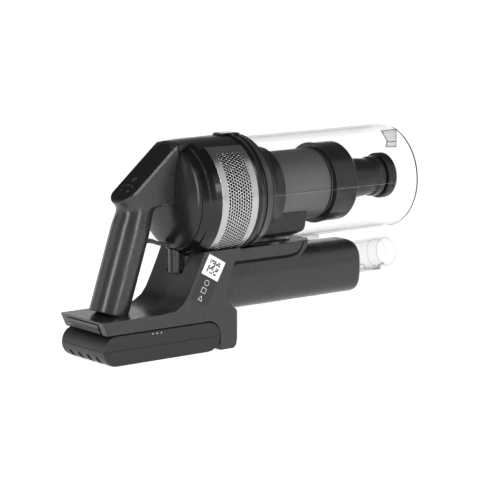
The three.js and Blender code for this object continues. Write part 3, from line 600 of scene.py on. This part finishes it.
def carve_head():
    """The head's block: side outline, round rear end, chamfered face and round top."""
    side = mm([(-24.5, 147.2), (31.3, 147.2), (34.4, 150.4), (34.4, 209.8), (-31.9, 154), (-30.4, 149.6)])
    head = slab("head", side, -HEAD_HALF, HEAD_HALF, lambda a, b, c: Vector((a, -c, b)))
    end = -42.8 * MM + HEAD_HALF
    plan = [(90 * MM, -HEAD_HALF * 1.2), (90 * MM, HEAD_HALF * 1.2), (end, HEAD_HALF * 1.2)]
    plan += arc(end, 0, HEAD_HALF, 90, 270, 40) + [(end, -HEAD_HALF * 1.2)]
    combine(head, [slab("plan", plan, -80 * MM, 8 * MM, on_display)], "INTERSECT")
    section = [(-19, -90), (19, -90), (19, -5.83), (16.6, 0), (16.6, 1), (-16.6, 1), (-16.6, 0),
               (-19, -5.83)]
    section = slab("section", mm(section), -90 * MM, 90 * MM, lambda a, b, c: on_display(c, a, b))
    combine(head, [section], "INTERSECT")
    round_top = arc(0, AXIS_Z, 57.3 * MM, 0, 357.5, 143)
    round_top = slab("round_top", round_top, -60 * MM, 60 * MM, lambda a, b, c: Vector((c, a, b)))
    combine(head, [round_top], "INTERSECT")
    return head


def melt(head):
    """Remeshes the joined solids and blends the neck where the grip meets the head."""
    skin = head.modifiers.new("skin", "REMESH")
    skin.mode = "VOXEL"
    skin.voxel_size = 0.75 * MM
    bake(head)
    relax(head, lambda p: np.ones(len(p)), 4)
    relax(head, lambda p: rising(p[:, 2], 0.134, 0.143) * (1 - rising(p[:, 2], 0.1485, 0.153))
          * (1 - rising(p[:, 0], 0.014, 0.02)), 90)


def handle():
    """Grip and head in one skin, with the display let into it."""
    head = carve_head()
    combine(head, [grip_solid()], "UNION")
    melt(head)
    reach = 60 * MM
    below = [(-reach - 0.03, -reach), (reach, -reach), (reach, reach), (-reach - 0.03, reach)]
    cutters = [slab("below", below, 0.03, 0.0448, lambda a, b, c: Vector((a, b, c)))]
    half_length = (PANEL_HIGH.x - PANEL_LOW.x - PANEL_THICK * math.sin(SLOPE)) / 2 / math.cos(SLOPE)
    half_width = PANEL_HIGH.y
    cutters.append(slab("pocket", stadium(half_length + 0.25 * MM, half_width + 0.25 * MM), -2.2 * MM, 6 * MM,
                        on_display))
    for u, v, r in KEYS.values():
        well = arc(u * MM, v * MM, (r + 0.2) * MM, 0, 345, 23)
        cutters.append(slab("well", well, -4.7 * MM, 6 * MM, on_display))
    combine(head, cutters, "DIFFERENCE")
    head.name = "handle_moulding"
    dress(head, "body_dark", "grip_shell_right", "grip_shell_left", "head_shell")
    panel = slab("display_glass", stadium(half_length, half_width, 24), -PANEL_THICK, 0, on_display)
    round_edges(panel, "rim", 0.9 * MM, 4, 50)
    bake(panel)
    holes = [arc(u * MM, v * MM, (r + 0.14) * MM, 0, 352.5, 47) for u, v, r in KEYS.values()]
    combine(panel, [slab("hole", hole, -4 * MM, 4 * MM, on_display) for hole in holes], "DIFFERENCE")
    dress(panel, "gloss_black", "display_panel")


def key_symbols():
    """Ring, minus and plus on the keys."""
    low, high = 0.3 * MM, 0.36 * MM
    u, v = KEYS["power_key"][:2]
    loop = arc(u * MM, v * MM, 2.1 * MM, 35, 325, 24)
    ribbon("power_loop", loop, 0.4 * MM, low, high, on_display, INK, "power_key")
    bar = [((u + 0.6) * MM, v * MM), ((u + 2.7) * MM, v * MM)]
    ribbon("power_bar", bar, 0.4 * MM, low, high, on_display, INK, "power_key")
    for name in ("minus_key", "plus_key"):
        u, v = KEYS[name][:2]
        bar = [(u * MM, (v - 1.5) * MM), (u * MM, (v + 1.5) * MM)]
        ribbon(f"{name}_bar", bar, 0.4 * MM, low, high, on_display, INK, name)
    bar = [((u - 1.5) * MM, v * MM), ((u + 1.5) * MM, v * MM)]
    ribbon("plus_upright", bar, 0.4 * MM, low, high + 0.01 * MM, on_display, INK, "plus_key")
    divider = arc(-33 * MM, 0, 14.5 * MM, -40, 40, 16)
    ribbon("key_divider", divider, 0.3 * MM, 0, 0.05 * MM, on_display, INK, "vacuum_body")


handle()
key_symbols()


# ---- Plain label on the column ----

def label():
    """Made-up squares over plain signs; nothing on it can be read or scanned."""
    corner = Vector((57.9 * MM, 0, 99 * MM))
    across, down = Vector((0.8725, 0, -0.4886)), Vector((-0.4886, 0, -0.8725))
    def on_column(a, b, c):
        return corner + across * a * MM + down * b * MM + Vector((0, COLUMN_SIDE - c * MM, 0))

    white = printed("label_white", (0.86, 0.86, 0.86))
    black = printed("label_black", (0.006, 0.006, 0.007), 0.35)
    stock = [(0, 0), (0, 20.8), (22.6, 20.8), (22.6, 0)]
    plate("label_upper", stock, 0.02, 0.12, on_column, white, "vacuum_body")
    stock = [(0.2, 20.8), (0.2, 48.4), (22.4, 48.4), (22.4, 20.8)]
    plate("label_lower", stock, 0.02, 0.1, on_column, black, "vacuum_body")
    pitch = 2.0
    for i in range(7):
        for j in range(7):
            if (i * j + i + 2 * j) % 3 != 1 or (i + j) % 4 == 1:
                a, b = 4.3 + i * pitch, 3.4 + j * pitch
                size = pitch * (0.98 if (i + j) % 2 else 0.8)
                mark = [(a, b), (a, b + size), (a + size, b + size), (a + size, b)]
                plate(f"label_mark_{i}_{j}", mark, 0.11, 0.15, on_column, black, "vacuum_body")
    ink = printed("label_ink", (0.62, 0.62, 0.62))
    ring = arc(11, 27, 2.7, 0, 345, 23)
    ribbon("label_ring", ring, 0.55, 0.09, 0.13, on_column, ink, "vacuum_body", closed=True)
    square = [(8.4, 32.6), (8.4, 37.6), (13.8, 37.6), (13.8, 32.6)]
    ribbon("label_square", square, 0.55, 0.09, 0.13, on_column, ink, "vacuum_body", closed=True)
    arrow = [(8.6, 45.6), (11.1, 41), (13.6, 45.6)]
    ribbon("label_arrow", arrow, 0.55, 0.09, 0.13, on_column, ink, "vacuum_body", closed=True)


label()


# ---- Exhaust ring ----

def perforated_ring():
    """A rolled sheet of hexagonal cells, each with a round hole, between plain margins."""
    columns, rows = 10, 85
    cell, hole = 2.0 * MM, 1.27 * MM
    across = cell * math.sqrt(3)
    length = GRILLE_HIGH.x - GRILLE_LOW.x
    first = (length - 1.5 * cell * (columns - 1)) / 2
    slope = 0.9 * MM / length
    half = math.radians(360 - 2 * 30.8) / 2 * GRILLE_R
    middle = (rows - 0.5) / 2
    verts, index, faces = [], {}, []

    def corner(u, v):
        key = (round(u / MM, 3), round(v / MM, 3))
        if key not in index:
            index[key] = len(verts)
            r = GRILLE_R - slope * u - 0.12 * MM
            verts.append(around(GRILLE_LOW.x + u, r, 180 + math.degrees(v / GRILLE_R)))
        return index[key]

    def about(u, v, r, count):
        turns = [2 * math.pi * k / count for k in range(count)]
        return [(u + r * math.cos(turn), v + r * math.sin(turn)) for turn in turns]

    for i in range(columns):
        u = first + 1.5 * cell * i
        for j in range(rows):
            v = (j + 0.5 * (i % 2) - middle + 0.25) * across
            tips = about(u, v, cell, 6)
            outer = []
            for k in range(6):
                nxt = tips[(k + 1) % 6]
                outer += [tips[k], ((tips[k][0] + nxt[0]) / 2, (tips[k][1] + nxt[1]) / 2)]
            inner = about(u, v, hole, 12)
            for k in range(12):
                n = (k + 1) % 12
                faces.append((corner(*outer[k]), corner(*outer[n]), corner(*inner[n]), corner(*inner[k])))
    sheet = piece("perforated_sheet", verts, faces, LOOKS["silver"], "vacuum_body", "silver")
    thick = sheet.modifiers.new("thickness", "SOLIDIFY")
    thick.thickness = 0.3 * MM
    thick.offset = -1

    reach = math.degrees(half / GRILLE_R)
    edge = first - 0.45 * cell
    field = middle * across - 0.1 * across
    field = math.degrees(field / GRILLE_R)
    spans = [("rear", 0.0, edge, -reach, reach), ("front", length - edge, length, -reach, reach),
             ("end_near", edge, length - edge, -reach, -field),
             ("end_far", edge, length - edge, field, reach)]
    for name, low, high, start, end in spans:
        x = GRILLE_LOW.x
        top = [(x + low, GRILLE_R - slope * low), (x + high, GRILLE_R - slope * high)]
        profile = [(x + low, GRILLE_R - 1.8 * MM)] + top + [(x + high, GRILLE_R - 1.8 * MM)]
        band = turned(f"ring_margin_{name}", eased(profile, 0.35 * MM), LOOKS["silver"], "vacuum_body",
                      "silver", sides=120 if end - start > 90 else 6, start=180 + start, end=180 + end)
        if name == "rear":
            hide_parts("exhaust_grille")
    # Painted shade: a near-black sheet just under the holes so that they read dark.
    low, high = GRILLE_LOW.x + edge, GRILLE_HIGH.x - edge
    hole_shade = [(low, GRILLE_R - 1.7 * MM), (low, GRILLE_R - 0.8 * MM), (high, GRILLE_R - 1.5 * MM),
             (high, GRILLE_R - 2.4 * MM)]
    turned("ring_hole_shade", hole_shade, RING_HOLE_SHADE, "vacuum_body", sides=120, start=180 - reach, end=180 + reach)


perforated_ring()


# ---- Skins over the motor unit's shoulder, front collar and head ----

def shoulder_skin():
    """Finely turned skins over the motor unit's shoulder, with the bead that runs round it."""
    lower = [(38.5, 50.4), (38.5, 51.7), (43.8, 55.3), (44, 55.6), (44.3, 56.4), (45, 57), (49.4, 58.97),
             (49.4, 56.5), (45, 54)]
    upper = [(49.4, 56.5), (49.4, 58.97), (55.1, 60.5), (55.1, 58.4)]
    for name, corners, radius, gap in (("lower", lower, 0.2, 18.5), ("upper", upper, 0.05, 31.6)):
        turned(f"shoulder_skin_{name}", eased(mm(corners), radius * MM), LOOKS["gloss_black"], "vacuum_body",
               "gloss_black", sides=240, start=gap, end=360 - gap)


shoulder_skin()


def collar_skin():
    """Rounded rear crest of the front collar, clear of the latch at the top."""
    corners = [(101.9, 56), (101.9, 57.6), (102.2, 59), (103, 60), (104.4, 60.3), (106.6, 60.2), (108.4, 59.5),
               (110, 59.1), (112.6, 58.75), (112.6, 57.6), (108, 56)]
    turned("collar_skin", eased(mm(corners), 0.3 * MM), LOOKS["gloss_black"], "vacuum_body", "gloss_black",
           sides=200, start=11, end=349)


collar_skin()


def head_fairing():
    """Carries the head's round top on into the top cover."""
    profile = eased(mm([(34.6, 50), (34.6, 56.7), (36.4, 57.45), (51, 58.3), (51, 50)]), 0.8 * MM)
    turned("head_fairing", profile, LOOKS["body_dark"], "vacuum_body", "body_dark", sides=24, start=-18.4,
           end=18.4)


head_fairing()


# ---- Mesh screen ----

def mesh_screen():
    """A woven sleeve with two bands and four thin seams."""
    low, high = SCREEN_LOW.x, SCREEN_HIGH.x
    r = SCREEN_R
    profile = [(low, r - 1.2 * MM), (low, r - 0.3 * MM), (high, r - 0.3 * MM), (high, r - 1.2 * MM)]
    sleeve = turned("screen_sleeve", profile, LOOKS["mesh"], "filter_screen", "mesh", sides=144)
    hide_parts("mesh_screen")
    rib_look = LOOKS["cyclone_dark"]
    for i in range(4):
        angle = 3 + 90 * i
        rib = [(low, r - 1.4 * MM), (low, r - 0.27 * MM), (high, r - 0.27 * MM), (high, r - 1.4 * MM)]
        turned(f"screen_rib_{i + 1}", rib, rib_look, "filter_screen", "cyclone_dark", sides=3,
               start=angle - 0.5, end=angle + 0.5)
    for i, x in enumerate((low + 9 * MM, high - 3 * MM)):
        band = [(x, r - 1.4 * MM), (x, r), (x + 1.6 * MM, r), (x + 1.6 * MM, r - 1.4 * MM)]
        turned(f"screen_band_{i + 1}", band, rib_look, "filter_screen", "cyclone_dark", sides=96)


mesh_screen()


def cyclone_parts():
    """Collar in front of the screen, dust tube and knob."""
    look = LOOKS["cyclone_dark"]
    low, high = COLLAR_LOW.x, COLLAR_HIGH.x
    r = (COLLAR_HIGH.z - COLLAR_LOW.z) / 2
    profile = [(low, 30 * MM), (low, r), (low + 1.6 * MM, r), (low + 2 * MM, r - 0.7 * MM),
               (high - 3.4 * MM, r - 0.7 * MM), (high, r - 3.6 * MM), (high, 22.6 * MM),
               (high - 1.6 * MM, 22.6 * MM), (high - 1.6 * MM, r - 4.2 * MM), (low + 1.8 * MM, r - 2.3 * MM),
               (low + 1.8 * MM, 30 * MM)]
    collar = turned("screen_collar", eased(profile, 0.5 * MM), look, "filter_screen", "cyclone_dark",
                    sides=144)
    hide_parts("cyclone_collar")
    low, high = DUCT_LOW.x, DUCT_HIGH.x
    r = (DUCT_HIGH.z - DUCT_LOW.z) / 2
    profile = [(low, r - 1.8 * MM), (low, r), (low + 10 * MM, r), (low + 33 * MM, r - 1.6 * MM),
               (low + 47 * MM, r - 2.9 * MM), (low + 49 * MM, r - 1.1 * MM), (low + 56.6 * MM, r - 1.1 * MM),
               (high, r - 3.8 * MM), (high, 16.6 * MM), (high - 3 * MM, 16.6 * MM), (low + 50 * MM, 17.2 * MM),
               (low + 33 * MM, 18.8 * MM), (low + 11 * MM, 20.4 * MM)]
    tube = turned("dust_pipe", eased(profile, 0.8 * MM), look, "filter_screen", "cyclone_dark", sides=112)
    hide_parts("dust_tube")
    low, high = KNOB_LOW.x, KNOB_HIGH.x
    r = (KNOB_HIGH.z - KNOB_LOW.z) / 2
    profile = [(low, 16.6 * MM), (low, r - 1.8 * MM), (low + 1.8 * MM, r), (low + 4.3 * MM, r),
               (low + 4.8 * MM, r - 0.5 * MM), (low + 5.3 * MM, r), (high - 0.8 * MM, r), (high, r - 0.8 * MM),
               (high, r - 3 * MM), (high - 1 * MM, r - 3.4 * MM), (high - 1 * MM, 16.6 * MM)]
    knob = turned("knob_ring", eased(profile, 0.35 * MM), look, "filter_screen", "cyclone_dark", sides=112)
    bar = [(low + 1.7 * MM, -20 * MM), (low + 7.7 * MM, -20 * MM), (low + 7.7 * MM, 20 * MM),
           (low + 1.7 * MM, 20 * MM)]
    plate("knob_bar", bar, -3 * MM, 3 * MM, lambda a, b, c: Vector((a, c, AXIS_Z + b)), look,
          "filter_screen", "cyclone_dark", bevel=0.6 * MM)
    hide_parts("dust_knob")


cyclone_parts()


# ---- Clear bin ----


def dust_bin():
    """Clear cup with its rims, seams, tab, foot and catch."""
    wall = 1.8 * MM
    rear, front, r = BIN_LOW.x, BIN_HIGH.x, BIN_R
    inner = r - wall
    corner = arc(front - 2.4 * MM, r - 2.4 * MM, 2.4 * MM, 90, 0, 6)
    cup = [(rear, inner), (rear, r)] + corner
    cup += [(front, 0.01 * MM), (front - wall, 0.01 * MM), (front - wall, inner)]
    body = turned("bin_cup", cup, LOOKS["clear"], "bin", "clear", sides=160)
    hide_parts("dust_bin")
    rim = [(front - 1.9 * MM, r - 0.7 * MM), (front - 1.9 * MM, r), (front - 0.3 * MM, r - 0.5 * MM)]
    turned("bin_rim_near", rim, EDGE_DARK, "bin", "clear", sides=80, start=14, end=170)
    mouth = [(rear, r - 1.6 * MM), (rear, r), (rear + 1 * MM, r), (rear + 1 * MM, r - 1.6 * MM)]
    turned("bin_mouth", mouth, EDGE_GREY, "bin", "clear", sides=128)
    lip = [(rear + 5.6 * MM, r - 1.6 * MM), (rear + 5.6 * MM, r), (rear + 6.3 * MM, r),
           (rear + 6.3 * MM, r - 1.6 * MM)]
    turned("bin_lip", lip, EDGE_GREY, "bin", "clear", sides=128)
    flange = mm([(113.4, 58.8), (113.4, 59.4), (113.8, 59.7), (120, 59.1), (120.4, 58.7), (120.4, 58.1)])
    for name, start, end in (("near", 8, 150), ("far", 210, 352)):
        turned(f"bin_flange_{name}", flange, FLANGE, "bin", "clear", sides=72, start=start, end=end)
    seam = [(rear + 2 * MM, r - 0.3 * MM), (rear + 2 * MM, r + 0.01 * MM), (front - 3 * MM, r + 0.01 * MM),
            (front - 3 * MM, r - 0.3 * MM)]
    for name, degrees in (("near", 90), ("far", 270)):
        turned(f"bin_seam_{name}", seam, EDGE_GREY, "bin", "clear", sides=1, start=degrees - 0.2,
               end=degrees + 0.2)

    def on_tab(a, b, c):
        return Vector((front - 23 * MM + a * MM, -20.4 * MM - c * MM, 184.6 * MM + b * MM))

    tab = [(0, 18.4), (8.6, 7.2), (7, 0.8), (20.9, 0), (21, 18.6)]
    plate("bin_tab", tab, -0.8, 0.8, on_tab, EDGE_GREY, "bin", "clear")
    ribbon("bin_tab_outline", tab, 0.7, 0.8, 1.0, on_tab, EDGE_DARK, "bin", "clear", closed=True)
    ribbon("bin_tab_fold", [(8.4, 6.2), (20.9, 5.6)], 0.6, 0.8, 0.95, on_tab, EDGE_DARK, "bin", "clear")

    def upright(a, b, c):
        return Vector((a * MM, c * MM, b * MM))

    foot = [(201, 98), (201, 91.4), (224, 94.6), (224, 98)]
    plate("bin_foot", foot, -7, 7, upright, EDGE_GREY, "bin", "clear", bevel=0.4 * MM)
    catch = [(112.4, 207), (112.4, 208.2), (115.2, 208.2), (115.2, 207)]
    plate("bin_catch", catch, -5.6, 5.6, upright, EDGE_GREY, "bin", "clear")


dust_bin()


# ---- Nozzle tube ----

def nozzle_tube():
    """Clear wand fitting with its stop, key and the lines of its slot."""
    rear, front, r = TUBE_LOW.x, TUBE_HIGH.x, TUBE_R
    wall = 2.05 * MM
    profile = [(rear, r - wall), (rear, r), (front - 0.6 * MM, r), (front, r - 0.6 * MM), (front, r - wall)]
    tube = turned("nozzle_wall", profile, TUBE_CLEAR, "vacuum_body", "clear", sides=96, z=TUBE_Z)
    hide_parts("inlet_tube")
    for name, x in (("nozzle_stop", rear + 51 * MM), ("nozzle_rim_line", front - 0.8 * MM)):
        line = [(x, r - wall), (x, r - 0.05 * MM), (x + 0.3 * MM, r - 0.05 * MM), (x + 0.3 * MM, r - wall)]
        turned(name, line, TUBE_CLEAR, "vacuum_body", "clear", sides=96, z=TUBE_Z)

    def on_key(a, b, c):
        return Vector((a * MM, -5 * MM - c * MM, b * MM))

    key = [(283, 51), (283, 53.6), (312, 53.6), (312, 51)]
    plate("nozzle_key", key, -10, 0, on_key, EDGE_GREY, "vacuum_body", "clear")
    slot = [(273, 57), (276, 62), (281, 61), (283, 55.6), (300, 55.4), (302, 59), (309, 60)]
    ribbon("nozzle_slot_line", slot, 0.5, 7.6, 7.9, on_key, EDGE_DARK, "vacuum_body", "clear")
    hook = [(300, 52.6), (308, 52.4), (310, 57)]
    ribbon("nozzle_hook_line", hook, 0.7, 0.1, 0.4, on_key, EDGE_DARK, "vacuum_body", "clear")


nozzle_tube()


# ---- Painted shade along the coves, and lights ----


def small_details():
    """Painted shade: dark strips along the coves beside the inlet cover and the column, and the battery's
    level lights.
    """
    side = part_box("inlet_cover_right")[0].y

    def on_side(a, b, c):
        return Vector((a * MM, side + 2.7 * MM - c * MM, b * MM))

    # Painted shade: a near-black strip stands in for the shade below the inlet cover's lower edge.
    cover_shade_path = [(93, 84.2), (167.4, 84.2), (178, 86), (183.6, 92.4), (186, 97.6)]
    ribbon("cover_cove_shade", cover_shade_path, 3.4, -0.4, 0.35, on_side, COVE_SHADE, "vacuum_body", "body_dark")
    # Painted shade: a near-black strip stands in for the shade along the column's front edge.
    edge = [(79.5, 54.5), (84, 68.2), (88, 78), (92, 84.2)]
    ribbon("column_cove_shade", edge, 3.4, -2.6, 2.9, on_side, COVE_SHADE, "vacuum_body", "body_dark")
    for i in range(3):
        x = (-12.5 + 5 * i) * MM
        light = arc(x, 27.3 * MM, 0.7 * MM, 0, 330, 11)
        plate(f"battery_light_{i + 1}", light, -0.4 * MM, 0.06 * MM,
              lambda a, b, c: Vector((a, BATTERY_SIDE - c, b)), LIGHT, "battery", "battery_dark")


small_details()


# ---- Studio ----

def area(name, place, aim, width, height, power):
    """A rectangular lamp aimed at a point."""
    light = bpy.data.lights.new(name, "AREA")
    light.energy = power
    light.shape = "RECTANGLE"
    light.size = width
    light.size_y = height
    obj = bpy.data.objects.new(name, light)
    obj.location = place
    obj.rotation_euler = (Vector(aim) - Vector(place)).to_track_quat("-Z", "Y").to_euler()
    bpy.context.scene.collection.objects.link(obj)


def studio():
    """Pale floor that bends up behind the vacuum, and the lamps round it."""
    reach = 9.0
    floor_z = -0.6 * MM
    bend = 0.5
    rows = [(-reach, floor_z), (3.0, floor_z)]
    rows += [(3.0 + bend * math.sin(math.radians(a)), floor_z + bend * (1 - math.cos(math.radians(a))))
             for a in range(10, 91, 10)]
    rows.append((3.0 + bend, 0.85))
    heading = math.radians(CAMERA_HEADING + 180)
    ahead = Vector((math.cos(heading), math.sin(heading), 0))
    aside = Vector((-ahead.y, ahead.x, 0))
    verts = []
    for distance, height in rows:
        for side in (-reach, reach):
            verts.append(ahead * distance + aside * side + Vector((0, 0, height)))
    faces = [(2 * i, 2 * i + 1, 2 * i + 3, 2 * i + 2) for i in range(len(rows) - 1)]
    mesh = bpy.data.meshes.new("floor")
    mesh.from_pydata([tuple(v) for v in verts], [], faces)
    mesh.polygons.foreach_set("use_smooth", [True] * len(faces))
    floor = bpy.data.objects.new("floor", mesh)
    look = Shader("floor_paper")
    look.set(Roughness=0.9, Emission_Color=(1, 1, 1, 1), Emission_Strength=0.78)
    paper = look.noise(3, 2)
    look.link(look.ramp(paper, [(0.3, (0.9, 0.9, 0.9)), (0.7, (0.92, 0.92, 0.92))]), "Base Color")
    mesh.materials.append(look.material)
    bpy.context.scene.collection.objects.link(floor)
    dim_sky()
    # Name, degrees from the camera's heading, width, height, distance, height above the centre, power.
    lights = [
        ("strip_left", -32, 0.15, 1.9, 1.6, 0.4, 18),
        ("strip_right", 36, 0.14, 1.9, 1.7, 0.4, 17),
        ("edge_strip", 45, 0.12, 0.4, 1.7, 0.6, 1.6),
        ("side_left", -88, 1.0, 1.6, 1.7, 0.4, 5),
        ("side_right", 78, 1.3, 1.8, 1.8, 0.9, 6),
    ]
    for name, turn, width, height, distance, lift, power in lights:
        angle = math.radians(CAMERA_HEADING + turn)
        place = CENTRE + Vector((math.cos(angle), math.sin(angle), 0)) * distance + Vector((0, 0, lift))
        area(name, place, CENTRE, width, height, power)


def dim_sky():
    """Dark overhead, grey at the horizon."""
    world = bpy.data.worlds.new("studio")
    world.use_nodes = True
    tree = world.node_tree
    coords = tree.nodes.new("ShaderNodeTexCoord")
    split = tree.nodes.new("ShaderNodeSeparateXYZ")
    ramp = tree.nodes.new("ShaderNodeValToRGB")
    ramp.color_ramp.elements[0].position = 0.0
    ramp.color_ramp.elements[0].color = (0.46, 0.46, 0.46, 1)
    ramp.color_ramp.elements[1].position = 0.6
    ramp.color_ramp.elements[1].color = (0.11, 0.11, 0.11, 1)
    tree.links.new(coords.outputs["Generated"], split.inputs[0])
    tree.links.new(split.outputs["Z"], ramp.inputs["Fac"])
    tree.links.new(ramp.outputs["Color"], tree.nodes["Background"].inputs["Color"])
    bpy.context.scene.world = world


CAMERA_HEADING = 231.96
CAMERA_ELEVATION = 9.35
CAMERA_DISTANCE = 2.3764
CAMERA_AIM = Vector((-1.7 * MM, 0, -5.2 * MM))
CAMERA_LENS = 174.9
LOW, HIGH = (Vector(corner) for corner in CAD_BOUNDS)
CENTRE = (LOW + HIGH) / 2


def camera():
    """The photograph's viewing angle."""
    heading, tilt = math.radians(CAMERA_HEADING), math.radians(CAMERA_ELEVATION)
    back = Vector((math.cos(heading) * math.cos(tilt), math.sin(heading) * math.cos(tilt), math.sin(tilt)))
    aim = Vector((CENTRE.x, 0, CENTRE.z)) + CAMERA_AIM
    data = bpy.data.cameras.new("camera")
    data.lens = CAMERA_LENS
    data.sensor_width = 36
    data.clip_end = 50
    obj = bpy.data.objects.new("camera", data)
    obj.location = aim + back * CAMERA_DISTANCE
    obj.rotation_euler = (-back).to_track_quat("-Z", "Y").to_euler()
    bpy.context.scene.collection.objects.link(obj)
    bpy.context.scene.camera = obj


camera()
studio()
bpy.context.scene.view_settings.view_transform = "Standard"
